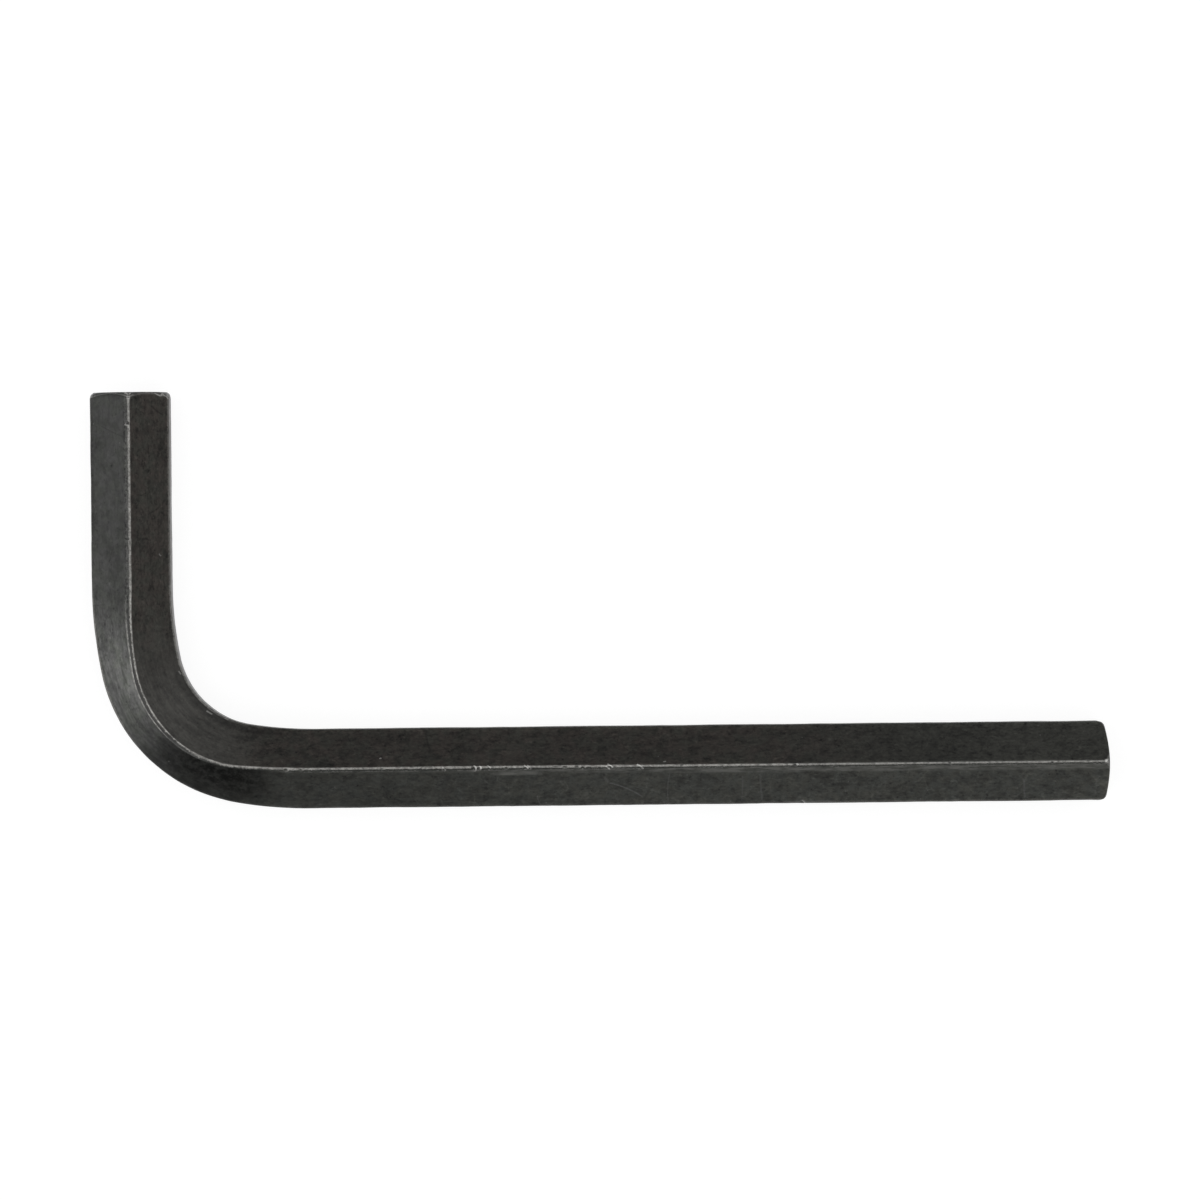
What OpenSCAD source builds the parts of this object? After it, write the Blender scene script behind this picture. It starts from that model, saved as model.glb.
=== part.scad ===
// A hex key: one bar of hexagonal steel, cropped to length and bent once into an L.
// It lies as it rests on a bench, on its lower ridge. The long arm runs along +X and the
// short arm along +Y, and the origin is at the middle of its outline, on the bench.

/* [Bar] */
// Width of the bar across two opposite flats
across_flats = 8; // [7:0.1:9]
// Radius that rounds the six ridges of the drawn bar
ridge_r = 0.45; // [0.2:0.05:0.8]

/* [Arms] */
// Length of the long arm, from the outer flat of the short arm to its tip
long_arm = 102.5; // [90:0.5:125]
// Length of the short arm, from the outer flat of the long arm to its tip
short_arm = 42.2; // [38:0.1:55]

/* [Bend] */
// Radius of the middle of the bend, at the centre of the bar
bend_r = 12.6; // [11:0.1:15]
// Radius of the slack curve that leads into the bend from either arm
lead_r = 40.5; // [30:1:60]
// Angle that the slack curve turns through beside the short arm
short_lead = 11.8; // [2:0.2:16]
// Angle that the slack curve turns through beside the long arm
long_lead = 10; // [2:0.2:16]
// How far bending draws the upper and lower ridges towards the outside
ridge_creep = 0.85; // [0:0.05:1.4]
// Where the ridges lie furthest out, as a share of the bend from the short arm
creep_at = 0.54; // [0.3:0.02:0.7]
// Share of the bend, from the short arm, where the die pressed the ridges flat
press_to = 0.7; // [0.3:0.05:0.9]

/* [Ends] */
// Depth of the turned chamfer at the corners of the short arm's tip
short_chamfer = 0.45; // [0.1:0.05:1]
// Depth of the turned chamfer at the corners of the long arm's tip
long_chamfer = 0.25; // [0.1:0.05:1]
// Slope of both chamfers from the face of the tip, in degrees
chamfer_slope = 35; // [20:5:60]
// Radius of the crown that cropping left across the long arm's tip
crown_r = 16; // [8:0.5:40]
// Distance of the crown's highest line from the middle, towards the outside
crown_offset = 0.3; // [0:0.05:1]
// Radius of the rolled-over edges of the long arm's tip
roll_r = 0.7; // [0.3:0.05:1.5]

/* [Hidden] */

// Angle that the bar turns through from one arm to the other
turn = 90;
// Flats of the bar, and the angle between two of them
flats = 6;
flat_angle = 360 / flats;
// Straight facets that round each ridge
ridge_facets = 3;
// Longest distance between two rings of the bend
ring_gap = 0.8;
// Facets of a full turned circle
turned_facets = 120;
// Clearance past the bar for the shapes that trim its tips
past = 2;

half_flats = across_flats / 2;
// Distance of each ridge's rounding centre from the middle of the bar
ridge_centre = (half_flats - ridge_r) / cos(flat_angle / 2);
corner_reach = ridge_centre + ridge_r;
// Height of the middle of the bar above the bench
mid_z = max([for (p = section(0, 0)) p.y]);

// The three arcs of the bend, each as its radius and the angle it turns through
arcs = [[lead_r, short_lead], [bend_r, turn - short_lead - long_lead], [lead_r, long_lead]];
// Heading and distance travelled at the start of each arc, counted from the short arm
headings = [for (i = [0:3]) sum([for (a = arcs) a[1]], i)];
distances = [for (i = [0:3]) sum([for (a = arcs) a[0] * a[1] * PI / 180], i)];
bend_length = distances[3];

// Centreline of each arm, and where its straight length meets the bend
short_x = half_flats - long_arm / 2;
long_y = half_flats - short_arm / 2;
bend_run = arc_start(3);
short_y = long_y - bend_run.y;
long_x = short_x + bend_run.x;

function sum(list, count) = count == 0 ? 0 : list[count - 1] + sum(list, count - 1);

// Point reached from the start of arc i, by turning to a heading. Heading 0 looks along -Y.
function arc_point(i, heading) =
    arc_start(i) + arcs[i][0] * [cos(headings[i]) - cos(heading), sin(headings[i]) - sin(heading)];
function arc_start(i) = i == 0 ? [0, 0] : arc_point(i - 1, headings[i]);

// Section of the bar as points [distance to the outside of the bend, height].
// The ridges at +90 and -90 degrees creep outwards, and press 1 makes them flat.
function section(creep, press) =
    [for (ridge = [0:flats - 1], i = [0:ridge_facets]) ridge_point(ridge, i, creep, press)];
function ridge_point(ridge, i, creep, press) =
    let (upright = ridge % (flats / 2) == 1,
         middle = (ridge + 1 / 2) * flat_angle,
         angle = (ridge + i / ridge_facets) * flat_angle,
         centre = ridge_centre * [cos(middle), sin(middle)],
         offset = ridge_r * [cos(angle), sin(angle)],
         pressed_y = sign(offset.y) * ridge_r * cos(flat_angle / 2),
         pressed = [offset.x + creep, offset.y * (1 - press) + pressed_y * press])
    centre + (upright ? pressed : offset);

// Creep and press at a share of the bend's length. The ridges lean outwards as soon as the bend
// starts, and settle slowly towards its end. The press holds its depth until it fades at its reach.
quarter_wave = 90;
half_wave = 180;
settle_power = 3;
function creep_at_share(share) =
    share < creep_at
        ? ridge_creep * sin(quarter_wave * share / creep_at)
        : ridge_creep * pow(cos(quarter_wave * (share - creep_at) / (1 - creep_at)), settle_power);
function press_at_share(share) = share < press_to ? sqrt(sin(half_wave * share / press_to)) : 0;

// Rings of the bend. Each is the section, set upright across the path at its heading.
function ring(i, heading) =
    let (travelled = distances[i] + arcs[i][0] * (heading - headings[i]) * PI / 180,
         share = min(1, travelled / bend_length),
         outside = [-cos(heading), -sin(heading)],
         place = [short_x, short_y] + arc_point(i, heading))
    [for (p = section(creep_at_share(share), press_at_share(share)))
        [place.x + p.x * outside.x, place.y + p.x * outside.y, mid_z + p.y]];
function arc_rings(i) =
    let (steps = ceil((distances[i + 1] - distances[i]) / ring_gap))
    [for (s = [0:steps - 1]) ring(i, headings[i] + arcs[i][1] * s / steps)];

// Closed skin over a row of rings that all have the same number of points
module loft(rings) {
    count = len(rings[0]);
    last = len(rings) - 1;
    points = [for (r = rings) each r];
    start_cap = [for (k = [count - 1:-1:0]) k];
    end_cap = [for (k = [0:count - 1]) last * count + k];
    sides = [
        for (r = [0:last - 1], k = [0:count - 1])
            let (a = r * count + k, b = r * count + (k + 1) % count)
            each [[a, b, a + count], [b, b + count, a + count]]
    ];
    polyhedron(points = points, faces = concat([start_cap], sides, [end_cap]), convexity = 4);
}

// Straight bar along +Z, with the outside of the bend towards +X
module straight_bar(length) {
    linear_extrude(length) polygon(section(0, 0));
}

// Turned solid that ends at a tip, with a chamfer that reaches depth at the bar's corners
module turned_tip(tip, depth) {
    face_r = corner_reach - depth / tan(chamfer_slope);
    outer_r = corner_reach + past;
    outer_tip = tip - (outer_r - face_r) * tan(chamfer_slope);
    rotate_extrude($fn = turned_facets)
        polygon([[0, -past], [outer_r, -past], [outer_r, outer_tip], [face_r, tip], [0, tip]]);
}

// Outline of the cropped tip, seen from above with the outside of the bend towards +X:
// a shallow crown between two rolled-over edges
module cropped_outline(tip) {
    crown_y = tip - crown_r;
    roll_reach = crown_r - roll_r;
    outer = half_flats - roll_r;
    outer_y = crown_y + sqrt(pow(roll_reach, 2) - pow(outer - crown_offset, 2));
    inner_y = crown_y + sqrt(pow(roll_reach, 2) - pow(outer + crown_offset, 2));
    intersection() {
        translate([crown_offset, 0]) union() {
            translate([0, crown_y]) circle(crown_r, $fn = turned_facets);
            translate([-crown_r, -past]) square([2 * crown_r, past + crown_y]);
        }
        union() {
            translate([-outer, -past]) square([2 * outer, tip + 2 * past]);
            translate([0, -past]) square([half_flats, past + outer_y]);
            translate([-half_flats, -past]) square([half_flats, past + inner_y]);
            translate([outer, outer_y]) circle(roll_r, $fn = turned_facets);
            translate([-outer, inner_y]) circle(roll_r, $fn = turned_facets);
        }
    }
}

module short_straight() {
    length = short_arm / 2 - short_y;
    translate([short_x, short_y, mid_z])
        rotate([90, 0, 180])
        intersection() {
            straight_bar(length);
            turned_tip(length, short_chamfer);
        }
}

module long_straight() {
    length = long_arm / 2 - long_x;
    translate([long_x, long_y, mid_z])
        rotate([-90, 0, -90])
        intersection() {
            straight_bar(length);
            turned_tip(length, long_chamfer);
            translate([0, across_flats, 0])
                rotate([90, 0, 0])
                linear_extrude(2 * across_flats) cropped_outline(length);
        }
}

module bend() {
    end_ring = ring(2, turn);
    loft(concat(arc_rings(0), arc_rings(1), arc_rings(2), [end_ring]));
}

module hex_key() {
    color("#3d3b39") union() {
        short_straight();
        bend();
        long_straight();
    }
}

hex_key();
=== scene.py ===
import math
from types import SimpleNamespace

import bpy
import numpy as np
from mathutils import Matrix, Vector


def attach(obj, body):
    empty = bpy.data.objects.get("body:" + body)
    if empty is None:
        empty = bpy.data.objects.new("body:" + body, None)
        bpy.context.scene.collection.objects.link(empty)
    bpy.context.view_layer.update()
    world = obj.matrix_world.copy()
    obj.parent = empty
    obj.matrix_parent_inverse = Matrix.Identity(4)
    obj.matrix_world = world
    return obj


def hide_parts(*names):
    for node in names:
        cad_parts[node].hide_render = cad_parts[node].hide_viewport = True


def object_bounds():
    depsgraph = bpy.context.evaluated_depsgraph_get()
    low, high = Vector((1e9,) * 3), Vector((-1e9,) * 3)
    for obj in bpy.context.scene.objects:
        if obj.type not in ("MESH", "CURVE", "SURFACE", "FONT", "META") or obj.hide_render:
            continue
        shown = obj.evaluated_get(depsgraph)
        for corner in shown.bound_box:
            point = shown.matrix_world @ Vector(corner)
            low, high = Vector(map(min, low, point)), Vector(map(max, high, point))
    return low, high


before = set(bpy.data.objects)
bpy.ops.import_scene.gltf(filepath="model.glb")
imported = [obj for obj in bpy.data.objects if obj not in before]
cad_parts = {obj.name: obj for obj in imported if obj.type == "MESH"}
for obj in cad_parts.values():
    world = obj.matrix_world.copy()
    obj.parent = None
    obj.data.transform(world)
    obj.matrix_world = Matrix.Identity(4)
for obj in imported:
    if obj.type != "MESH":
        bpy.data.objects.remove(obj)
cad_low, cad_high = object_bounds()

MM = 0.001

# The bar, as its solid has it
ACROSS_FLATS = 8 * MM
RIDGE_R = 0.45 * MM
FLATS = 6
FLAT_ANGLE = 2 * math.pi / FLATS

# The bend: slack curve from the short arm, middle of the bend, slack curve into the long arm
BEND_R = 12.6 * MM
LEAD_R = 40.5 * MM
SHORT_LEAD = math.radians(11.8)
LONG_LEAD = math.radians(10)
TURN = math.radians(90)
ARCS = [(LEAD_R, SHORT_LEAD), (BEND_R, TURN - SHORT_LEAD - LONG_LEAD), (LEAD_R, LONG_LEAD)]
RIDGE_CREEP = 0.85 * MM
CREEP_AT = 0.54
SETTLE_POWER = 3
PRESS_TO = 0.7

# The tips: turned chamfers, and the crown and rolled edges of the cropped long tip
SHORT_CHAMFER = 0.45 * MM
LONG_CHAMFER = 0.25 * MM
CHAMFER_SLOPE = math.tan(math.radians(35))
CROWN_R = 16 * MM
CROWN_OFFSET = 0.3 * MM
ROLL_R = 0.7 * MM
SHORT_FILLET = 0.25 * MM
LONG_FILLET = 0.07 * MM
TIP_SOFTNESS = 0.05 * MM

# How closely the skin is divided: across a ridge, across a flat, and along the bar
RIDGE_STEPS = 6
FLAT_SHARES = [0.02, 0.045, 0.08, 0.15, 0.3, 0.5, 0.7, 0.85, 0.92, 0.955, 0.98]
RING_GAP = 0.21 * MM
NICK_GAP = 0.08 * MM
NICK_REACH = 0.5 * MM
TIP_ZONE = 2 * MM
CAP_RINGS = 22
FILLET_RINGS = 5
# The rings of a tip's face: size of the innermost one, in gaps, and how they gather at the edge
CAP_START = 0.4
CAP_GATHER = 1.7

half_flats = ACROSS_FLATS / 2
ridge_centre = (half_flats - RIDGE_R) / math.cos(FLAT_ANGLE / 2)
corner_reach = ridge_centre + RIDGE_R
half_ridge = RIDGE_R * FLAT_ANGLE / 2
pitch = ridge_centre + 2 * half_ridge
half_height = (cad_high.z - cad_low.z) / 2
mid_z = (cad_high.z + cad_low.z) / 2
short_x = cad_low.x + half_flats
long_y = cad_low.y + half_flats

arc_starts = np.cumsum([0] + [angle for radius, angle in ARCS])
bend_run_y = sum(
    radius * (math.sin(start) - math.sin(start + angle))
    for (radius, angle), start in zip(ARCS, arc_starts)
)
bend_run_x = sum(
    radius * (math.cos(start) - math.cos(start + angle))
    for (radius, angle), start in zip(ARCS, arc_starts)
)
bend_start = cad_high.y - (long_y - bend_run_y)
bend_length = sum(radius * angle for radius, angle in ARCS)
bend_end = bend_start + bend_length
bar_length = bend_end + cad_high.x - (short_x + bend_run_x)

# Nicks on the ridges, in millimetres from the short tip and in ridges from the lower one:
# 3 is the upper ridge. Then half their length and width, their depth, and the side that their
# burr is on: 0 degrees towards the long tip, and 90 outwards.
NICKS = [
    (3.15, 2.975, 0.15, 0.16, 0.10, 35),
    (3.75, 2.995, 0.09, 0.10, 0.05, 0),
    (14.8, 2.955, 0.12, 0.12, 0.05, 90),
    (36.9, 4.03, 0.40, 0.16, 0.10, 0),
    (47.3, 2.98, 0.20, 0.14, 0.08, 30),
    (48.8, 2.985, 0.16, 0.16, 0.06, 0),
    (63.3, 2.955, 0.16, 0.13, 0.07, 180),
    (66.2, 2.975, 0.17, 0.22, 0.08, 0),
    (66.7, 2.975, 0.12, 0.16, 0.07, 0),
    (67.75, 2.97, 0.12, 0.13, 0.06, 10),
    (69.5, 2.98, 0.18, 0.12, 0.06, 60),
    (71.45, 2.965, 0.13, 0.14, 0.07, 20),
    (71.95, 2.97, 0.11, 0.13, 0.06, 20),
    (75.4, 2.99, 0.24, 0.12, 0.07, 60),
    (77.2, 2.965, 0.18, 0.14, 0.08, -60),
    (78.4, 2.945, 0.12, 0.12, 0.08, -90),
    (78.8, 2.945, 0.12, 0.12, 0.08, -90),
    (79.9, 2.97, 0.18, 0.12, 0.08, -30),
    (82.85, 2.945, 0.24, 0.14, 0.10, -45),
    (98.6, 2.98, 0.16, 0.11, 0.07, 40),
    (114.2, 2.985, 0.14, 0.11, 0.06, 90),
    (124.5, 2.975, 0.14, 0.12, 0.06, 0),
    (69.8, 1.98, 0.26, 0.18, 0.09, 0),
    (99.3, 2.03, 0.20, 0.20, 0.10, 0),
]
# The small nicks: how many, half the length, half the width and the depth of the largest, the
# place that half of them gather around, and how far from it
SMALL_NICKS = 150
LARGEST_SMALL_NICK = (0.26, 0.14, 0.05)
GATHER_AT = 76
GATHER_WITHIN = 12
# The burr's ring, in sizes of its nick, its height beside the nick's depth, and the depth from
# which a nick is marked in full
BURR_RADIUS = 1.35
BURR_WIDTH = 0.4
BURR_HEIGHT = 0.3
FULL_DEPTH = 0.08

# Marks as bowed lines on the skin: start and end, each as millimetres from the short tip and
# outwards from the upper ridge, then bow, half width, and strength. The material has room for
# 40 of them in all: with 47, Cycles draws the whole key black.
BRIGHT_STROKES = [
    ((0.32, 0.02), (0.08, 0.50), 0.04, 0.11, 1.0),
    ((0.32, -0.02), (0.10, -0.26), 0.00, 0.10, 1.0),
    ((0.12, -3.10), (0.42, -3.70), 0.06, 0.10, 0.8),
    ((0.42, -3.70), (0.16, -4.16), 0.00, 0.10, 0.8),
    ((0.16, -4.16), (0.75, -4.66), 0.05, 0.12, 0.9),
    ((16.32, -3.30), (16.56, -3.55), 0.05, 0.10, 0.45),
    ((29.5, -4.16), (30.1, -4.27), 0.00, 0.10, 0.45),
    ((36.4, -4.10), (37.4, -4.16), 0.00, 0.10, 0.55),
    ((39.1, -4.50), (39.8, -4.46), 0.00, 0.12, 0.55),
    ((3.38, 0.00), (3.30, 0.46), 0.0, 0.10, 0.7),
    ((56.75, -1.12), (56.95, -1.20), 0.0, 0.09, 0.9),
    ((63.05, -0.08), (63.45, 0.30), 0.0, 0.10, 0.6),
    ((66.26, -0.22), (66.36, 0.46), -0.16, 0.12, 1.0),
    ((66.80, -0.16), (66.88, 0.30), -0.13, 0.11, 1.0),
    ((67.60, -0.20), (67.95, 0.12), -0.04, 0.10, 0.7),
    ((71.28, -0.20), (71.80, 0.20), 0.0, 0.11, 1.0),
    ((71.62, -0.20), (72.05, 0.18), 0.0, 0.10, 0.8),
    ((79.70, -0.24), (80.30, 0.14), 0.0, 0.11, 1.0),
    ((79.52, -0.05), (79.98, 0.44), 0.0, 0.10, 0.8),
    ((82.65, -0.18), (83.35, 0.38), -0.05, 0.12, 1.0),
    ((85.32, -0.42), (85.62, -0.46), 0.0, 0.09, 0.8),
    ((98.75, -0.06), (98.95, 0.10), 0.0, 0.12, 0.8),
    ((99.28, 4.3), (99.62, 4.8), -0.08, 0.12, 0.8),
]
SCRATCHES = [
    ((79.8, 1.95), (83.3, 3.70), -0.22, 0.11, 0.85),
    ((79.35, 1.35), (79.85, 1.90), 0.0, 0.24, 0.45),
    ((86.0, 0.8), (85.8, 4.2), 0.14, 0.09, 0.5),
    ((93.3, 1.2), (93.2, 4.3), -0.05, 0.10, 0.4),
    ((95.1, 1.0), (95.3, 4.3), 0.06, 0.13, 0.45),
    ((97.4, 4.45), (102.4, 4.40), 0.0, 0.22, 0.6),
    ((121.7, 1.9), (121.8, 4.3), 0.05, 0.14, 0.45),
    ((72.6, 3.3), (73.0, 4.5), 0.1, 0.10, 0.6),
    ((27.4, 1.2), (29.6, 2.6), -0.2, 0.08, 0.4),
]
DARK_VEINS = [
    ((3.35, 3.3), (4.60, 0.3), 0.10, 0.10, 0.6),
    ((1.35, -2.55), (2.35, -4.00), 0.12, 0.12, 1.0),
    ((1.50, -1.30), (1.62, -1.95), 0.00, 0.20, 0.8),
    ((7.80, -1.95), (8.20, -2.15), 0.00, 0.28, 1.0),
    ((10.9, -4.00), (12.3, -2.15), -0.20, 0.15, 1.0),
    ((16.1, -4.10), (16.8, -4.20), 0.00, 0.20, 1.0),
    ((19.5, -2.35), (20.2, -2.10), 0.00, 0.25, 1.0),
    ((61.4, -4.00), (61.9, -1.80), 0.05, 0.16, 0.9),
]
SEED = 11
# Depth by which the whole skin lies inside its true form, to leave room for burrs
SINK = 0.01 * MM
# Waves that drawing left on the bar: how many of each kind, and for each kind its length along
# the bar, its most waves around it, and its height
WAVES_EACH = 3
DRAWN_WAVES = [(17, 1, 0.005), (9, 2, 0.004), (5.3, 3, 0.003), (2.9, 5, 0.002), (1.7, 7, 0.0014)]


def bar_path(along):
    """Place and heading of the middle of the bar, at distances along it from the short tip."""
    x = np.full(np.shape(along), short_x)
    y = cad_high.y - np.minimum(along, bend_start)
    heading = np.zeros(np.shape(along))
    arc_start = bend_start
    for radius, angle in ARCS:
        turned = np.clip((along - arc_start) / radius, 0, angle)
        x += radius * (np.cos(heading) - np.cos(heading + turned))
        y += radius * (np.sin(heading) - np.sin(heading + turned))
        heading = heading + turned
        arc_start += radius * angle
    x += np.maximum(along - bend_end, 0)
    return x, y, heading


def bend_forming(along):
    """How far bending draws the upright ridges outwards, and how flat the die pressed them."""
    share = np.clip((along - bend_start) / bend_length, 0, 1)
    rising = np.sin(np.pi / 2 * share / CREEP_AT)
    settling = np.cos(np.pi / 2 * (share - CREEP_AT) / (1 - CREEP_AT)).clip(0) ** SETTLE_POWER
    pressed = np.sqrt(np.sin(np.pi * np.clip(share / PRESS_TO, 0, 1)).clip(0))
    return RIDGE_CREEP * np.where(share < CREEP_AT, rising, settling), pressed


def ridge_angle(ridge):
    """Angle that a ridge faces: straight down for ridge 0, and on over the outside of the bend."""
    return (ridge - FLATS / 4) * FLAT_ANGLE


def ridge_point(ridge, angle, creep, pressed):
    """Point of a ridge's rounding, as distance to the outside of the bend and height."""
    middle = ridge_angle(ridge)
    upright = (ridge % (FLATS / 2) == 0).astype(float)
    out = ridge_centre * np.cos(middle) + RIDGE_R * np.cos(angle) + upright * creep
    rise = RIDGE_R * np.sin(angle)
    flat_rise = np.sign(rise) * RIDGE_R * math.cos(FLAT_ANGLE / 2)
    rise = rise + upright * pressed * (flat_rise - rise)
    return out, ridge_centre * np.sin(middle) + rise


def bar_columns():
    """Columns once round the bar, from the lower ridge over the outside: the ridge that each
    follows, the angle that it faces, its share of the way to the next ridge, and its place
    around the bar in ridges."""
    rows = []
    for ridge in range(FLATS + 1):
        middle = ridge_angle(ridge)
        for step in range(RIDGE_STEPS + 1):
            turned = (step / RIDGE_STEPS - 0.5) * FLAT_ANGLE
            past_seam = (ridge == 0 and turned < 0) or (ridge == FLATS and turned > 0)
            if not past_seam:
                rows.append((ridge, middle + turned, 0.0, ridge + turned * RIDGE_R / pitch))
        if ridge < FLATS:
            for share in FLAT_SHARES:
                around = ridge + (half_ridge + share * ridge_centre) / pitch
                rows.append((ridge, middle + FLAT_ANGLE / 2, share, around))
    return np.array(rows).T


def section(columns, creep, pressed):
    """Section of the bar at each ring, as distance to the outside and height."""
    ridge, angle, share = columns[:3]
    out, rise = ridge_point(ridge, angle, creep, pressed)
    next_out, next_rise = ridge_point(ridge + 1, angle, creep, pressed)
    return out + share * (next_out - out), rise + share * (next_rise - rise)


def softer(a, b):
    """The larger of two depths, with a soft step where they cross."""
    return (a + b + np.sqrt((a - b) ** 2 + TIP_SOFTNESS**2)) / 2


def chamfer_depth(out, rise, depth):
    """How far a turned chamfer lies behind the face of a tip."""
    face_r = corner_reach - depth / CHAMFER_SLOPE
    return (np.hypot(out, rise) - face_r) * CHAMFER_SLOPE


def short_tip_depth(out, rise):
    return softer(0, chamfer_depth(out, rise, SHORT_CHAMFER))


def long_tip_depth(out, rise):
    """Crown and rolled edges of the cropped tip, with its chamfer."""
    crown = CROWN_R - np.sqrt(CROWN_R**2 - (out - CROWN_OFFSET) ** 2)
    edge = half_flats - ROLL_R
    side = np.where(out > CROWN_OFFSET, 1, -1)
    centre_out = side * edge - CROWN_OFFSET
    centre_depth = CROWN_R - np.sqrt((CROWN_R - ROLL_R) ** 2 - centre_out**2)
    past_edge = np.clip(side * out - edge, -ROLL_R, ROLL_R)
    roll = centre_depth - np.sqrt(ROLL_R**2 - past_edge**2)
    meets = CROWN_OFFSET + centre_out * CROWN_R / (CROWN_R - ROLL_R)
    crowned = np.where(side * (out - meets) > 0, roll, crown)
    return softer(crowned, chamfer_depth(out, rise, LONG_CHAMFER))


def ring_places():
    """Distances of the rings along the bar, close together where a nick lies."""
    step = 0.02 * MM
    grid = np.arange(0, bar_length, step)
    close = np.zeros(len(grid))
    for nick in NICKS:
        close = np.maximum(close, np.exp(-(((grid - nick[0] * MM) / NICK_REACH) ** 4)))
    rings_before = np.cumsum(1 / RING_GAP + close * (1 / NICK_GAP - 1 / RING_GAP)) * step
    wanted = np.linspace(rings_before[0], rings_before[-1], int(rings_before[-1]))
    places = np.interp(wanted, rings_before, grid)
    return places * bar_length / places[-1]


def all_nicks(rng):
    """The nicks of the list, with many small ones: twice as many on the upper ridge as on any
    other, and half of them around the middle of the long arm."""
    half_length, half_width, depth = LARGEST_SMALL_NICK
    clear_end = 0.5
    nicks = list(NICKS)
    for _ in range(SMALL_NICKS):
        ridge = rng.choice([0, 1, 2, 3, 3, 4, 5]) + rng.normal(0, 0.02)
        size = rng.uniform(0.45, 1)
        anywhere = rng.uniform(clear_end, bar_length / MM - clear_end)
        place = rng.choice([anywhere, rng.normal(GATHER_AT, GATHER_WITHIN)])
        facing = rng.uniform(-90, 90)
        nicks.append(
            (place, ridge, half_length * size, half_width * size, depth * size**2, facing)
        )
    return nicks


def relief(along, around):
    """How far the surface stands off its true form, and where nicks have left pits and burrs,
    from -1 to 1."""
    rng = np.random.default_rng(SEED)
    turn = around * FLAT_ANGLE
    height = np.full(along.shape, -SINK)
    for length, rounds, swing in DRAWN_WAVES:
        for _ in range(WAVES_EACH):
            start = rng.uniform(0, 2 * np.pi)
            turns = rng.integers(-rounds, rounds + 1)
            waves = along / (rng.uniform(0.8, 1.2) * length * MM)
            height += swing * MM * np.sin(2 * np.pi * waves + turns * turn + start)
    marks = np.zeros(along.shape)
    for place, ridge, half_length, half_width, depth, facing in all_nicks(rng):
        reach = 4 * half_length * MM
        near = np.abs(along - place * MM) < reach
        across = (around[near] - ridge + FLATS / 2) % FLATS - FLATS / 2
        x = (along[near] / MM - place) / half_length
        y = across * pitch / MM / half_width
        gap = np.hypot(x, y)
        turned = math.radians(facing)
        toward = (x * math.cos(turned) - y * math.sin(turned)) / gap.clip(0.01)
        pit = np.exp(-gap**3)
        burr = np.exp(-(((gap - BURR_RADIUS) / BURR_WIDTH) ** 2)) * (1 + toward) / 2
        height[near] += depth * MM * (BURR_HEIGHT * burr - pit)
        strength = min(1, depth / FULL_DEPTH)
        marks[near] += strength * (strength * burr - pit)
    return height, marks.clip(-1, 1)


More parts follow.
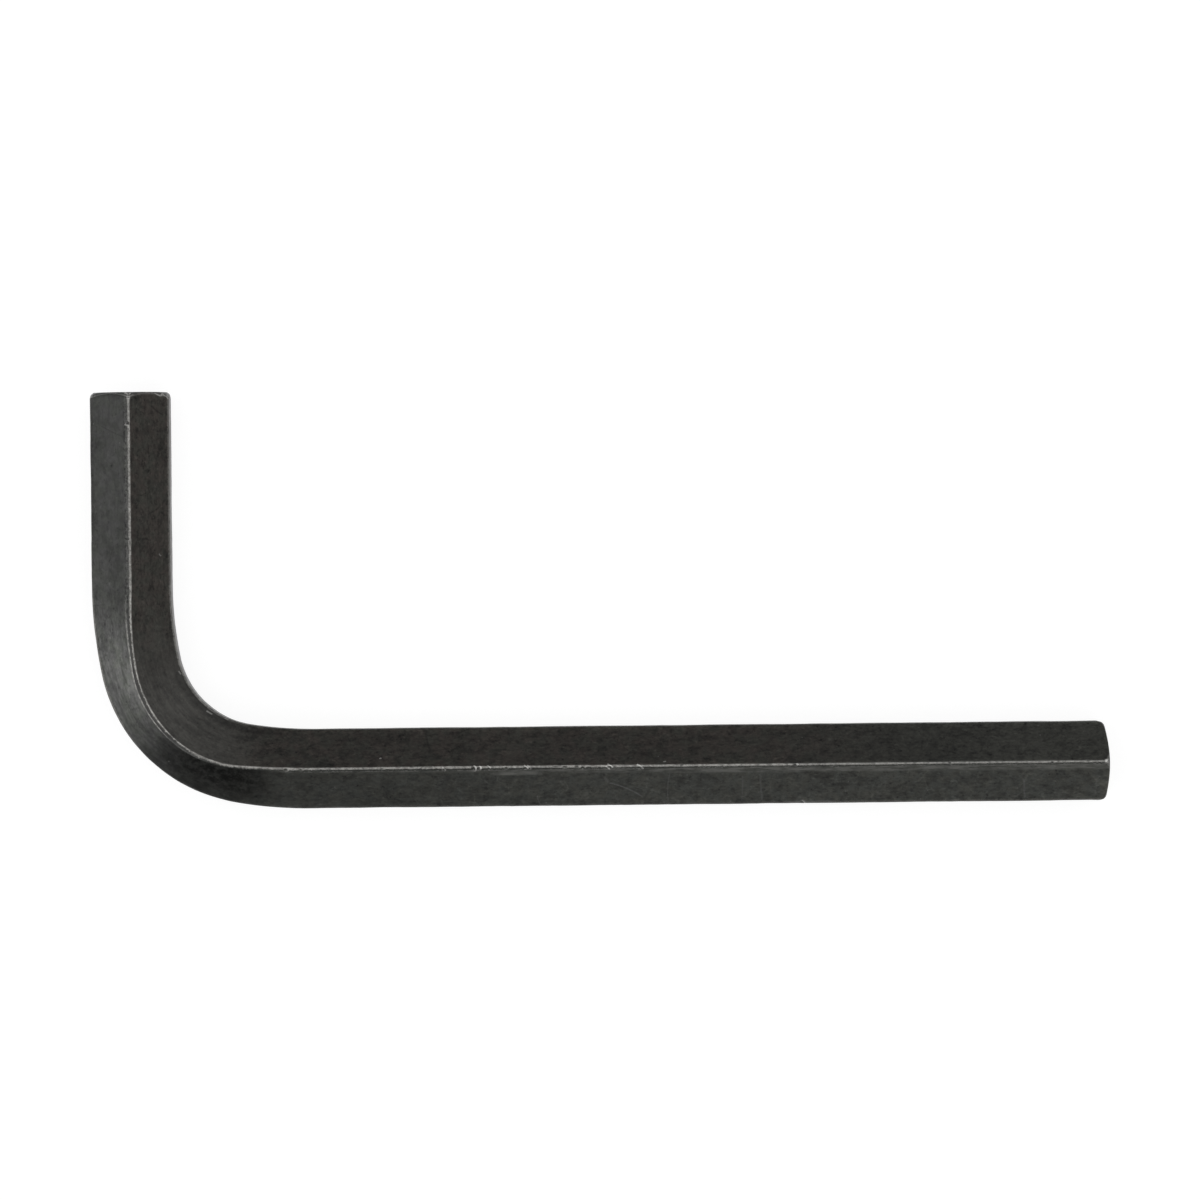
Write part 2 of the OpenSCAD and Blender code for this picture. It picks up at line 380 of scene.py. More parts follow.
def make_skin():
    """The rings of the whole skin: where they lie, and what the materials need of them."""
    columns = bar_columns()
    around = columns[3]
    side = ring_places()
    fillet = (np.arange(FILLET_RINGS) + 0.5) / FILLET_RINGS * np.pi / 2
    cap = (np.arange(CAP_RINGS) + CAP_START) / (CAP_RINGS + CAP_START)
    cap = 1 - (1 - cap) ** CAP_GATHER
    short_edge = 1 - SHORT_FILLET / half_flats
    long_edge = 1 - LONG_FILLET / half_flats
    at_tip = np.zeros(CAP_RINGS + FILLET_RINGS)
    rest = np.concatenate([at_tip, side, at_tip + bar_length])
    scale = np.concatenate([
        cap * short_edge,
        (short_edge + (1 - short_edge) * np.cos(fillet))[::-1],
        np.ones(len(side)),
        long_edge + (1 - long_edge) * np.cos(fillet),
        cap[::-1] * long_edge,
    ])
    creep, pressed = bend_forming(rest[:, None])
    out, rise = section(columns, creep, pressed)
    short_depth = short_tip_depth(out, rise)
    long_depth = long_tip_depth(out, rise)
    out = out * scale[:, None]
    rise = rise * scale[:, None]

    # The side's rings follow the edge of either tip, and the caps follow its face
    along = np.repeat(rest[:, None], len(around), axis=1)
    to_short = np.clip(1 - along / TIP_ZONE, 0, 1)
    to_long = np.clip(1 - (bar_length - along) / TIP_ZONE, 0, 1)
    along += to_short * (short_depth + SHORT_FILLET) - to_long * (long_depth + LONG_FILLET)
    first_side = CAP_RINGS + FILLET_RINGS
    last_side = len(rest) - first_side
    short_fillet = slice(CAP_RINGS, first_side)
    long_fillet = slice(last_side, last_side + FILLET_RINGS)
    short_cap = slice(0, CAP_RINGS)
    long_cap = slice(last_side + FILLET_RINGS, len(rest))
    fillet_share = (1 - np.sin(fillet))[:, None]
    along[short_fillet] = short_depth[short_fillet] + SHORT_FILLET * fillet_share[::-1]
    along[long_fillet] = bar_length - long_depth[long_fillet] - LONG_FILLET * fillet_share
    along[short_cap] = short_tip_depth(out[short_cap], rise[short_cap])
    along[long_cap] = bar_length - long_tip_depth(out[long_cap], rise[long_cap])

    on_side = np.ones(len(rest), bool)
    on_side[short_cap] = False
    on_side[long_cap] = False
    raised, marks = relief(along, np.broadcast_to(around, along.shape))
    raised[~on_side] = 0
    marks[~on_side] = 0
    fade = np.minimum(along, bar_length - along) / TIP_ZONE
    raised *= fade.clip(0, 1)
    x, y, heading = bar_path(along)
    out_full = (out + raised * np.cos(columns[1])).clip(-half_flats, half_flats)
    rise_full = (rise + raised * np.sin(columns[1])).clip(-half_height, half_height)
    place = np.stack([
        x - out_full * np.cos(heading),
        y - out_full * np.sin(heading),
        mid_z + rise_full,
    ], axis=-1)

    # Distance over the skin to the outside from the nearer upright ridge
    half_way = FLATS / 4
    ridges_out = np.select(
        [around < half_way, around < 3 * half_way],
        [around, FLATS / 2 - around],
        around - FLATS,
    )
    outward = ridges_out * pitch
    inward_of_edge = (scale[:, None] - 1) * np.hypot(out, rise)
    from_tip = np.minimum(along - short_depth, bar_length - long_depth - along)
    values = {
        "straight": np.stack([out, rise, along], axis=-1) / MM,
        "outward": np.broadcast_to(outward, along.shape) / MM,
        "pressed": np.broadcast_to(pressed, along.shape),
        "from_tip": np.where(on_side[:, None], from_tip, inward_of_edge) / MM,
        "marks": marks,
    }
    return place, around, on_side, values


def bake_places(along, around, out, rise, on_side):
    """A flat layout of the skin in two strips, with the faces of the two tips beside them."""
    margin = 0.006
    strip_height = 0.415
    middle = bar_length / MM / 2
    second = along > middle
    share = np.where(second, (along - middle) / middle, along / middle)
    u = margin + share * (1 - 2 * margin)
    v = margin + second * (strip_height + margin) + around / FLATS * strip_height
    cap_size = 1 - 4 * margin - 2 * strip_height
    cap_scale = cap_size / 2 / (corner_reach / MM)
    cap_u = margin + cap_size / 2 + second * (cap_size + margin) + out * cap_scale
    cap_v = 1 - margin - cap_size / 2 + rise * cap_scale
    return np.where(on_side, u, cap_u), np.where(on_side, v, cap_v)


def build_key():
    """The hex key's mesh, with a map for baking and its places on the straight bar."""
    place, around, on_side, values = make_skin()
    rings, columns = place.shape[:2]
    unique = columns - 1
    vertex = np.arange(rings)[:, None] * unique + np.arange(columns)[None, :] % unique
    corners = [
        (slice(0, rings - 1), slice(0, columns - 1)),
        (slice(1, rings), slice(0, columns - 1)),
        (slice(1, rings), slice(1, columns)),
        (slice(0, rings - 1), slice(1, columns)),
    ]
    quads = np.stack([vertex[c] for c in corners], axis=-1).reshape(-1, 4)
    caps = [vertex[0, unique - 1::-1].tolist(), vertex[-1, :unique].tolist()]
    mesh = bpy.data.meshes.new("hex_key_skin")
    mesh.from_pydata(place[:, :unique].reshape(-1, 3).tolist(), [], quads.tolist() + caps)

    def corner_values(value):
        """Values at the corners of each quad, and then of the two caps' middles."""
        at_quads = np.stack([value[c] for c in corners], axis=-1).reshape(-1)
        return np.concatenate([at_quads, value[0, unique - 1::-1], value[-1, :unique]])

    # Each quad lies wholly in one strip. One between a cap and a fillet counts with the side.
    out, rise, along = np.moveaxis(values["straight"], -1, 0)
    quad_along = np.stack([along[c] for c in corners], axis=-1)
    middle = bar_length / MM / 2
    just_past_middle = middle * 1.00001
    second = np.repeat(quad_along.mean(axis=-1).reshape(-1) > middle, 4)
    second = np.append(second, np.repeat([False, True], unique))
    strip_along = corner_values(along)
    strip_along = np.where(
        second, np.maximum(strip_along, just_past_middle), np.minimum(strip_along, middle)
    )
    side_quads = np.repeat(np.repeat(on_side[:-1] | on_side[1:], unique), 4)
    baked = bake_places(
        strip_along,
        corner_values(np.broadcast_to(around, along.shape)),
        corner_values(out),
        corner_values(rise),
        np.append(side_quads, np.zeros(2 * unique, bool)),
    )
    mesh.uv_layers.new(name="OFBake").uv.foreach_set(
        "vector", np.stack(baked, axis=-1).reshape(-1)
    )
    for name, value in values.items():
        kind, field = ("FLOAT_VECTOR", "vector") if value.ndim == 3 else ("FLOAT", "value")
        mesh.attributes.new(name, kind, "POINT").data.foreach_set(
            field, value[:, :unique].reshape(-1).astype(np.float32)
        )
    mesh.shade_smooth()
    mesh.update()
    key = bpy.data.objects.new("hex_key_finished", mesh)
    bpy.context.scene.collection.objects.link(key)
    return key


class Nodes:
    """Short calls that add nodes to one material and join them up."""

    def __init__(self, material):
        material.use_nodes = True
        self.tree = material.node_tree
        self.tree.nodes.clear()

    def add(self, kind, inputs=(), **settings):
        """A node with these settings. An input is a number, a colour or another output."""
        node = self.tree.nodes.new(kind)
        for name, value in settings.items():
            setattr(node, name, value)
        pairs = inputs.items() if isinstance(inputs, dict) else enumerate(inputs)
        for name, value in pairs:
            if isinstance(value, bpy.types.NodeSocket):
                self.tree.links.new(value, node.inputs[name])
            else:
                node.inputs[name].default_value = value
        return node

    def attribute(self, name, output="Fac"):
        return self.add("ShaderNodeAttribute", attribute_name=name).outputs[output]

    def math(self, operation, *values):
        return self.add("ShaderNodeMath", values, operation=operation).outputs[0]

    def chain(self, operation, values):
        made = values[0]
        for value in values[1:]:
            made = self.math(operation, made, value)
        return made

    def times(self, *values):
        return self.chain("MULTIPLY", values)

    def plus(self, *values):
        return self.chain("ADD", values)

    def most(self, *values):
        return self.chain("MAXIMUM", values)

    def less(self, value, share):
        """What is left of 1 when a share of value is taken off."""
        return self.math("MULTIPLY_ADD", value, -share, 1.0)

    def step(self, value, low, high, start=0.0, end=1.0):
        """Goes smoothly from start to end as value goes from low to high."""
        inputs = {"Value": value, "From Min": low, "From Max": high, "To Min": start, "To Max": end}
        node = self.add("ShaderNodeMapRange", inputs, interpolation_type="SMOOTHSTEP")
        return node.outputs["Result"]

    def band(self, value, start, full_from, full_to, end):
        """1 between full_from and full_to, falling smoothly to 0 at start and end."""
        return self.times(self.step(value, start, full_from), self.step(value, full_to, end, 1, 0))

    def placed(self, place, scale, stretch=1.0, shift=0.0):
        """Places scaled for a texture, stretched along the bar."""
        inputs = [place, (scale, scale, scale / stretch), (shift, shift, shift)]
        return self.add("ShaderNodeVectorMath", inputs, operation="MULTIPLY_ADD").outputs[0]

    def noise(self, place, scale, detail=2.0, roughness=0.5, stretch=1.0, shift=0.0):
        """Noise from 0 to 1 in waves of 1/scale mm, stretched along the bar."""
        inputs = {
            "Vector": self.placed(place, scale, stretch, shift),
            "Scale": 1.0, "Detail": detail, "Roughness": roughness,
        }
        return self.add("ShaderNodeTexNoise", inputs).outputs["Fac"]

    def warped(self, place, scale, amount):
        """Places pushed about by noise, in mm."""
        inputs = {"Vector": self.placed(place, scale), "Scale": 1.0, "Detail": 3.0}
        push = self.add("ShaderNodeTexNoise", inputs).outputs["Color"]
        centred = self.add("ShaderNodeVectorMath", [push, (0.5, 0.5, 0.5)], operation="SUBTRACT")
        return self.add(
            "ShaderNodeVectorMath",
            [centred.outputs[0], (amount, amount, amount), place],
            operation="MULTIPLY_ADD",
        ).outputs[0]

    def cracks(self, place, scale, half_width, shift):
        """1 on the thin lines between scattered cells, and 0 past half_width mm from them."""
        inputs = {"Vector": self.placed(place, scale, shift=shift), "Scale": 1.0}
        node = self.add("ShaderNodeTexVoronoi", inputs, feature="DISTANCE_TO_EDGE")
        edge = half_width * scale
        return self.step(node.outputs["Distance"], 0.3 * edge, edge, 1, 0)

    def dots(self, place, scale, radius, share, shift=0.0):
        """1 on small dots at a share of scattered points, and 0 past radius mm from them."""
        inputs = {"Vector": self.placed(place, scale, shift=shift), "Scale": 1.0}
        node = self.add("ShaderNodeTexVoronoi", inputs)
        pick = self.add("ShaderNodeSeparateXYZ", [node.outputs["Color"]]).outputs[0]
        edge = radius * scale
        near = self.step(node.outputs["Distance"], 0.4 * edge, edge, 1, 0)
        return self.times(near, self.math("LESS_THAN", pick, share))

    def dot(self, first, second):
        return self.add("ShaderNodeVectorMath", [first, second], operation="DOT_PRODUCT").outputs[1]

    def scratch(self, spot, start, end, bow, half_width, strength):
        """Strength on a bowed line from start to end, each given as along and outward in mm."""
        run, climb = end[0] - start[0], end[1] - start[1]
        length = math.hypot(run, climb)
        middle = (start[0] + run / 2, start[1] + climb / 2, 0)
        past = self.add("ShaderNodeVectorMath", [spot, middle], operation="SUBTRACT").outputs[0]
        share = self.dot(past, (run / length**2, climb / length**2, 0))
        side = self.dot(past, (-climb / length, run / length, 0))
        if bow:
            bowed = self.math("MULTIPLY_ADD", self.times(share, share), -4 * bow, bow)
            side = self.math("SUBTRACT", side, bowed)
        gap = self.math("ABSOLUTE", side)
        ends = self.step(self.math("ABSOLUTE", share), 0.44, 0.5, 1, 0)
        return self.times(ends, self.step(gap, 0.3 * half_width, half_width, strength, 0))

    def mix(self, share, first, second):
        """A colour between two colours."""
        node = self.add("ShaderNodeMix", data_type="RGBA")
        sockets = {socket.identifier: socket for socket in node.inputs}
        for name, value in zip(("Factor_Float", "A_Color", "B_Color"), (share, first, second)):
            if isinstance(value, bpy.types.NodeSocket):
                self.tree.links.new(value, sockets[name])
            else:
                sockets[name].default_value = value
        return next(s for s in node.outputs if s.identifier == "Result_Color")

    def between(self, share, first, second):
        """A number between two numbers."""
        gap = self.math("SUBTRACT", second, first)
        return self.math("MULTIPLY_ADD", gap, share, first)

    def shade(self, colour, amount):
        """A colour made lighter or darker by a factor."""
        return self.add("ShaderNodeVectorMath", [colour, amount], operation="MULTIPLY").outputs[0]

    def finish(self, shader):
        output = self.add("ShaderNodeOutputMaterial")
        self.tree.links.new(shader.outputs[0], output.inputs["Surface"])


def grey(value, red=1.0, blue=1.0):
    """A grey with its red and blue changed by a factor each."""
    return (value * red, value, value * blue, 1)


# The blackened steel on the outer faces, at the short arm and at the long one, and in patches
OUTER_SHORT = grey(0.0375, 1.0, 0.97)
OUTER_LONG = grey(0.036, 0.99, 0.87)
OUTER_PATCHES = grey(0.036, 0.96, 0.90)
# The same on the inner faces, then at the long tip, and within the bend
INNER_BROWN = grey(0.0335, 1.15, 0.88)
INNER_PATCHES = grey(0.0335, 1.02, 0.86)
INNER_LONG_TIP = grey(0.0335, 0.99, 0.88)
INNER_BEND = grey(0.0400, 1.03, 0.91)
# Steel that shows, from the least to the most bare
POLISHED = grey(0.125, 1.0, 0.93)
SCRATCHED = grey(0.13)
SPECKLED = grey(0.14)
RUBBED = grey(0.185, 1.02, 0.95)
RUBBED_IN_BEND = grey(0.26, 1.02, 0.95)
STRUCK = grey(0.34, 1.01, 0.96)

# Places along the bar where several looks change, from and to, in millimetres from the short
# tip. The bend starts at 19.5, is tight from 27.8 to 42.8, and ends at 49.9. The long tip is at
# 130.3.
SHORT_ARM_ENDS = (18.0, 24.0)
BEND_STARTS = (22.0, 28.0)
PATCH_ENDS = (34.0, 35.8)
LONG_ARM_STARTS = (46.0, 58.0)


def read_places(n):
    """Where a point lies on the bar, for the materials. Outward is the distance in millimetres
    over the skin from the nearer upright ridge, positive to the outside. A face is 4.57 wide."""
    at = SimpleNamespace(
        place=n.attribute("straight", "Vector"),
        outward=n.attribute("outward"),
        pressed=n.attribute("pressed"),
        from_tip=n.attribute("from_tip"),
        marks=n.attribute("marks"),
    )
    apart = n.add("ShaderNodeSeparateXYZ", [at.place]).outputs
    at.along = apart[2]
    at.spot = n.add("ShaderNodeCombineXYZ", [at.along, at.outward]).outputs[0]
    at.on_top = n.step(apart[1], -0.5, 0.5)

    # Nearest ridge: 0 for the upright ones, 1 on the outside, -1 on the inside
    at.nearest = n.math("ROUND", n.times(at.outward, MM / pitch))
    at.from_ridge = n.math("SUBTRACT", at.outward, n.times(at.nearest, pitch / MM))
    at.beside = n.math("ABSOLUTE", at.from_ridge)
    at.upright = n.step(n.math("ABSOLUTE", at.nearest), 0.4, 0.6, 1, 0)
    at.sideways = n.less(at.upright, 1.0)
    at.ragged = n.noise(at.place, 4.5, detail=3, roughness=0.7, shift=41.0)
    at.fray = n.math("SUBTRACT", at.ragged, 0.5)
    at.slow = n.noise(at.place, 0.45, detail=2, shift=47.0)
    at.on_face = n.step(at.from_tip, -0.2, -0.1, 1, 0)
    at.on_side = n.less(at.on_face, 1.0)
    at.outside = n.most(n.step(at.outward, -0.1, 0.1), at.on_face)
    return at


def mottling(n, at):
    """Tone of the blackened steel: clouds, dark blotches, grain, drawn streaks, cracks, pits and
    light flecks. It is coarsest on the inner faces and smoothest on the short arm's outer one."""
    place = at.place
    clouds = n.noise(place, 0.3, detail=2, stretch=1.8)
    blotches = n.noise(place, 1.2, detail=4, roughness=0.6, stretch=1.45, shift=5.0)
    grain = n.noise(place, 4.0, detail=2, roughness=0.6, stretch=1.7, shift=9.0)
    streaks = n.noise(place, 3.4, detail=2, stretch=14.0, shift=13.0)
    flecks = n.noise(place, 3.0, detail=2, roughness=0.5, stretch=1.7, shift=15.0)
    dark_spots = n.noise(place, 2.0, detail=3, roughness=0.7, stretch=1.4, shift=29.0)
    veins = n.times(
        n.cracks(n.warped(place, 0.8, 1.1), 0.42, 0.11, shift=17.0),
        n.step(n.noise(place, 0.9, detail=3, shift=19.0), 0.52, 0.62),
    )
    cracks = n.times(
        n.cracks(n.warped(place, 2.2, 0.35), 1.25, 0.09, shift=23.0),
        n.step(n.noise(place, 1.6, detail=2, shift=27.0), 0.50, 0.62),
    )
    pits = n.most(
        n.dots(place, 2.4, 0.12, 0.30),
        n.dots(place, 1.2, 0.17, 0.22, shift=3.0),
    )
    short_outer = n.times(at.outside, n.step(at.along, *SHORT_ARM_ENDS, 1, 0))
    drawn = n.step(at.outside, 0.0, 1.0, 1.0, 0.5)
    drawn = n.times(drawn, n.band(at.along, *BEND_STARTS, 38.0, 46.0))
    coarse = n.times(
        n.step(at.outside, 0.0, 1.0, 1.0, 0.85), n.less(short_outer, 0.4), n.less(drawn, 0.45)
    )
    tone = n.plus(
        1.05,
        n.step(clouds, 0.3, 0.7, -0.11, 0.11),
        n.times(coarse, n.step(blotches, 0.36, 0.56, -0.34, 0.15)),
        n.times(coarse, n.step(grain, 0.3, 0.7, -0.25, 0.25)),
        n.times(coarse, n.step(dark_spots, 0.31, 0.39, -0.45, 0.0)),
        n.times(coarse, n.step(flecks, 0.60, 0.74, 0.0, 0.55)),
        n.times(n.step(streaks, 0.3, 0.7, -0.11, 0.11), n.plus(0.6, drawn)),
        n.times(coarse, veins, -0.30),
        n.times(coarse, cracks, -0.24),
        n.times(coarse, pits, -0.45),
    )
    height = n.plus(
        n.times(grain, 0.6),
        n.times(blotches, 0.8),
        n.times(streaks, 0.3),
        n.times(pits, -0.6),
        n.times(veins, coarse, -0.3),
    )
    return tone, height, blotches, pits


def oxide_colour(n, at):
    """Near-black greys: brown on the inner faces, and on the outer ones neutral on the short arm
    and greener on the long one. The outer faces grow lighter towards the long tip."""
    greenish = n.step(at.along, 34.0, 48.0)
    patches = n.noise(at.place, 0.8, detail=3, roughness=0.6, shift=21.0)
    in_bend = n.band(at.along, 21.0, 32.0, 40.0, 46.5)
    outer = n.mix(greenish, OUTER_SHORT, OUTER_LONG)
    outer = n.mix(n.step(patches, 0.4, 0.6), outer, OUTER_PATCHES)
    level = n.plus(
        n.step(at.along, 50.0, 98.0, 0.96, 1.16), n.step(at.along, 24.0, 36.0, 0.12, 0.0)
    )
    outer = n.shade(outer, level)
    brown = n.mix(n.step(patches, 0.38, 0.62), INNER_BROWN, INNER_PATCHES)
    brown = n.mix(n.step(at.along, 94.0, 112.0), brown, INNER_LONG_TIP)
    inner = n.mix(in_bend, brown, INNER_BEND)
    level = n.times(
        n.step(at.along, 42.0, 47.0, 1.10, 0.86), n.step(at.along, 112.0, 120.0, 1.0, 1.18)
    )
    return n.mix(at.outside, n.shade(inner, level), outer)


def bend_stains_and_painted_light(n, at):
    """On the outside of the bend, a lighter patch that ends at a line, which is a painted
    reflection with scuff texture, a painted highlight on the outer rim, and dark mottled patches
    past the line that are partly stain and partly a painted dark reflection. On the inside, painted
    shade in a band beside the rim."""
    cloud = n.noise(at.place, 1.0, detail=4, roughness=0.6, shift=33.0)
    frayed = n.plus(at.along, n.times(n.math("SUBTRACT", cloud, 0.5), 2.4))
    # Lighter patch on the bend's outside: a painted reflection, with scuff texture
    scuff_and_reflection_patch = n.times(
        n.step(frayed, 18.5, 28.5),
        n.step(frayed, 29.5, 36.5, 1.0, 0.16),
        n.step(frayed, *PATCH_ENDS, 1, 0),
        n.band(at.outward, 0.1, 0.4, pitch / MM, pitch / MM + 0.6),
    )
    dashes = n.noise(at.place, 3.0, detail=3, stretch=7.0, shift=35.0)
    dashes = n.step(dashes, 0.48, 0.66, 1.08, 0.45)
    uneven = n.times(
        n.step(cloud, 0.3, 0.7, 0.95, 1.75), dashes, n.step(at.outward, 0.6, 4.2, 1.18, 0.82)
    )
    painted_reflection_light = n.times(scuff_and_reflection_patch, n.between(n.step(at.along, *BEND_STARTS), 1.0, uneven))
    spread = n.noise(at.place, 1.2, detail=4, roughness=0.7, shift=31.0)
    kept_light = n.times(
        n.band(at.outward, -0.1, 0.1, 0.5, 1.0), n.band(at.along, 34.6, 35.2, 36.2, 37.6)
    )
    # Dark mottled patches past the line: partly stain, partly a painted dark reflection
    stain_and_dark_reflection_area = n.times(
        n.band(frayed, *PATCH_ENDS, 42.5, 48.0),
        n.step(frayed, 34.8, 38.8, 0.6, 1.0),
        n.less(kept_light, 0.55),
        n.step(at.outward, 0.15, 0.3),
        n.step(at.outward, 1.2, 5.0, 1.0, 0.55),
    )
    stain_and_dark_reflection = n.times(stain_and_dark_reflection_area, n.step(spread, 0.38, 0.60, 0.55, 1.0))
    # Painted shade: a dark band beside the inner rim of the bend
    painted_rim_shade = n.times(
        n.band(n.plus(at.outward, n.times(cloud, 0.5)), -4.3, -4.0, -3.65, -3.15),
        n.band(at.along, 27.0, 33.0, 44.0, 47.0),
        n.step(spread, 0.38, 0.56, 0.55, 1.0),
    )
    # Painted highlight along the outer rim of the short arm and the start of the bend
    painted_rim_highlight = n.times(
        n.step(at.outward, 3.95, 4.3), n.band(at.along, 12.5, 21.0, 27.0, 31.0), 0.5
    )
    tone = n.times(
        n.plus(1.0, painted_reflection_light, painted_rim_highlight), n.less(stain_and_dark_reflection, 0.86), n.less(painted_rim_shade, 0.52)
    )
    return tone, stain_and_dark_reflection


def line_along(n, at, centre, half, fray):
    """1 on a line along a ridge. Its inner side is straight, and its outer side frayed."""
    past = n.math("SUBTRACT", at.outward, centre)
    frayed = n.plus(past, n.times(at.fray, fray))
    inner_side = n.step(n.plus(past, half), -0.035, 0.035)
    outer_side = n.step(n.math("SUBTRACT", frayed, half), -0.05, 0.05, 1, 0)
    return n.times(inner_side, outer_side)


def rubbed_ridges(n, at):
    """Bare steel on the ridges: one line, or two where the die pressed the ridge flat. The outer
    one of the two fades past the end of the lighter patch on the outside of the bend."""
    corner = half_ridge / MM
    half = n.plus(
        n.step(at.slow, 0.3, 0.7, 0.10, 0.13),
        n.times(at.pressed, -0.055),
        n.step(at.along, 20.0, 44.0, 0.03, -0.01),
        n.times(n.band(at.along, 44.0, 50.0, 94.0, 102.0), 0.015),
        n.times(n.band(at.along, 36.0, 39.0, 43.0, 47.0), 0.02),
    )
    fraying = n.plus(0.42, n.times(n.band(at.along, 34.5, 37.5, 45.0, 52.0), 0.5))
    beads = n.noise(at.place, 2.4, detail=4, roughness=0.7, shift=53.0)
    wear = n.times(n.step(beads, 0.36, 0.60, 0.40, 1.0), n.step(at.ragged, 0.34, 0.56, 0.72, 1.0))
    drift = n.plus(
        n.step(at.along, 46.0, 54.0, 0.0, -0.035), n.step(at.along, 62.0, 100.0, 0.0, 0.085)
    )
    inner_line = line_along(n, at, n.plus(n.times(at.pressed, -corner), drift), half, fraying)
    stray = n.step(at.along, 20.5, 27.0, 0.30, 0.0)
    outer_line = line_along(n, at, n.plus(n.times(at.pressed, corner), stray), half, 0.35)
    kept = n.times(
        n.step(at.along, 20.0, 26.0, 0.2, 1.0),
        n.step(at.along, 34.0, 35.6, 1.0, 0.22),
        n.step(at.along, 36.5, 40.0, 1, 0),
    )
    shoulder = n.times(
        n.band(at.outward, 0.1, 0.2, 0.34, 0.5),
        n.step(at.along, *SHORT_ARM_ENDS, 1, 0),
        n.step(n.noise(at.place, 1.1, detail=3, shift=55.0), 0.48, 0.62),
        0.22,
    )
    upright_line = n.most(inner_line, n.times(outer_line, kept), shoulder)

    # Of the ridges at the sides, the inner one is worn on the short arm and round the bend, and
    # the outer one in the bend's first half and, less, along the long arm. Part of this is painted
    # reflection: bare steel is put where these rims catch light and kept off where they stay dark.
    # Their lower sides are worn a little all along.
    side_gap = n.math("SUBTRACT", n.plus(at.beside, n.times(at.fray, 0.4)), 0.19)
    side_line = n.step(side_gap, -0.05, 0.04, 1, 0)
    inner_rim_wear_and_sheen = n.step(at.along, 34.5, 42.5, 0.9, 0.0)
    outer_rim_wear_and_sheen = n.plus(
        n.step(at.along, 36.0, 60.0, 0.05, 0.2),
        n.step(at.along, 92.0, 102.0, 0.0, 0.25),
        n.times(n.band(at.along, 18.5, 22.0, 30.0, 35.0), 0.85),
    )
    share = n.between(n.step(at.nearest, -1.0, 1.0), inner_rim_wear_and_sheen, outer_rim_wear_and_sheen)
    share = n.most(share, n.step(at.on_top, 0.0, 1.0, 0.4, 0.0))
    share = n.between(at.upright, share, 1.0)
    line = n.between(at.upright, side_line, upright_line)
    rubbed = n.times(line, wear, share)
    burrs = n.times(n.step(at.marks, 0.12, 0.75), share)
    whole = n.times(n.step(at.marks, -0.7, -0.1), n.step(at.along, 98.0, 104.0, 1.0, 0.92))
    return n.times(n.most(rubbed, burrs), whole, at.on_side)


def tip_edges(n, at):
    """Bare steel on the edges of the tips, brightest where the ridges end."""
    gap = n.math("ABSOLUTE", n.plus(at.from_tip, n.step(at.ragged, 0.3, 0.7, -0.06, 0.06)))
    worn = n.step(at.beside, 0.2, 0.9, 0.95, 0.16)
    edge = n.times(n.step(gap, 0.06, 0.15, 1, 0), worn, n.step(at.ragged, 0.3, 0.55, 0.5, 1.0))
    corner = n.times(
        n.step(at.beside, 0.12, 0.28, 1, 0), n.band(at.from_tip, -0.1, 0.0, 0.12, 0.4), at.upright
    )
    return edge, corner


def beside_ridges(n, at):
    """Outwards of the upright ridges: dark pits on the short arm, and on the long arm a thin
    dark line, then a softly polished band, and light threads and a lighter end past it. In the
    bend, the dark gap between the two worn lines."""
    specks = n.noise(at.place, 3.4, detail=3, roughness=0.7, stretch=1.3, shift=57.0)
    pitted = n.times(
        n.band(at.outward, 0.12, 0.2, 0.42, 0.7),
        n.step(at.along, *BEND_STARTS, 1, 0),
        n.step(specks, 0.43, 0.54, -0.75, 0.35),
    )
    on_long = n.step(at.along, *LONG_ARM_STARTS)
    dark_line = n.times(n.band(at.outward, 0.1, 0.15, 0.2, 0.26), on_long, -0.5)
    between_lines = n.times(
        n.band(at.outward, -0.22, -0.08, 0.12, 0.3),
        at.pressed,
        n.step(at.along, 33.5, 35.5, -0.45, -0.55),
    )
    threads = n.times(
        n.cracks(n.warped(at.place, 1.1, 0.8), 0.6, 0.10, shift=63.0),
        n.step(n.noise(at.place, 0.7, detail=3, shift=65.0), 0.48, 0.58, 0.0, 0.32),
        n.step(at.outward, 0.5, 0.9),
        n.step(at.along, 56.0, 66.0),
    )
    near_tip = n.times(
        n.step(at.from_tip, 0.2, 2.6, 0.3, 0.0), n.step(at.outward, 0.2, 0.6), on_long
    )
    marked = n.plus(pitted, dark_line, between_lines, threads, near_tip)
    tone = n.plus(1.0, n.times(at.on_side, marked))
    width = n.step(at.along, 60.0, 100.0, 0.45, 0.80)
    streaks = n.noise(at.place, 5.0, detail=2, roughness=0.6, stretch=9.0, shift=61.0)
    polished = n.times(
        n.step(at.outward, 0.24, 0.36),
        n.step(n.math("SUBTRACT", at.outward, width), -0.1, 0.25, 1, 0),
        on_long,
        n.step(at.along, 56.0, 80.0, 0.35, 1.0),
        n.step(at.slow, 0.34, 0.6, 0.5, 1.0),
        n.step(streaks, 0.40, 0.58, 0.25, 1.1),
    )
    second_band = n.times(
        n.band(at.outward, 0.44, 0.56, 0.84, 1.0),
        n.band(at.along, 67.6, 69.4, 71.6, 73.6),
        n.step(streaks, 0.40, 0.58, 0.55, 1.1),
    )
    second_line = n.times(
        n.band(n.plus(at.outward, n.times(at.fray, 0.3)), 0.22, 0.29, 0.36, 0.46),
        n.step(at.along, 44.0, 50.0),
        n.step(n.noise(at.place, 0.8, detail=3, roughness=0.6, shift=59.0), 0.42, 0.58, 0.25, 1.0),
        n.step(at.ragged, 0.40, 0.58, 0.45, 1.15),
    )
    return tone, n.times(n.most(polished, second_band, second_line), at.on_side)


def strokes(n, at, lines, kept=0.3):
    """The bowed lines of a list, on the upper side of the bar, broken up but for a share kept."""
    made = 0.0
    for line in lines:
        made = n.most(made, n.scratch(at.spot, *line))
    return n.times(made, at.on_top, n.step(at.ragged, 0.32, 0.6, kept, 1.0))


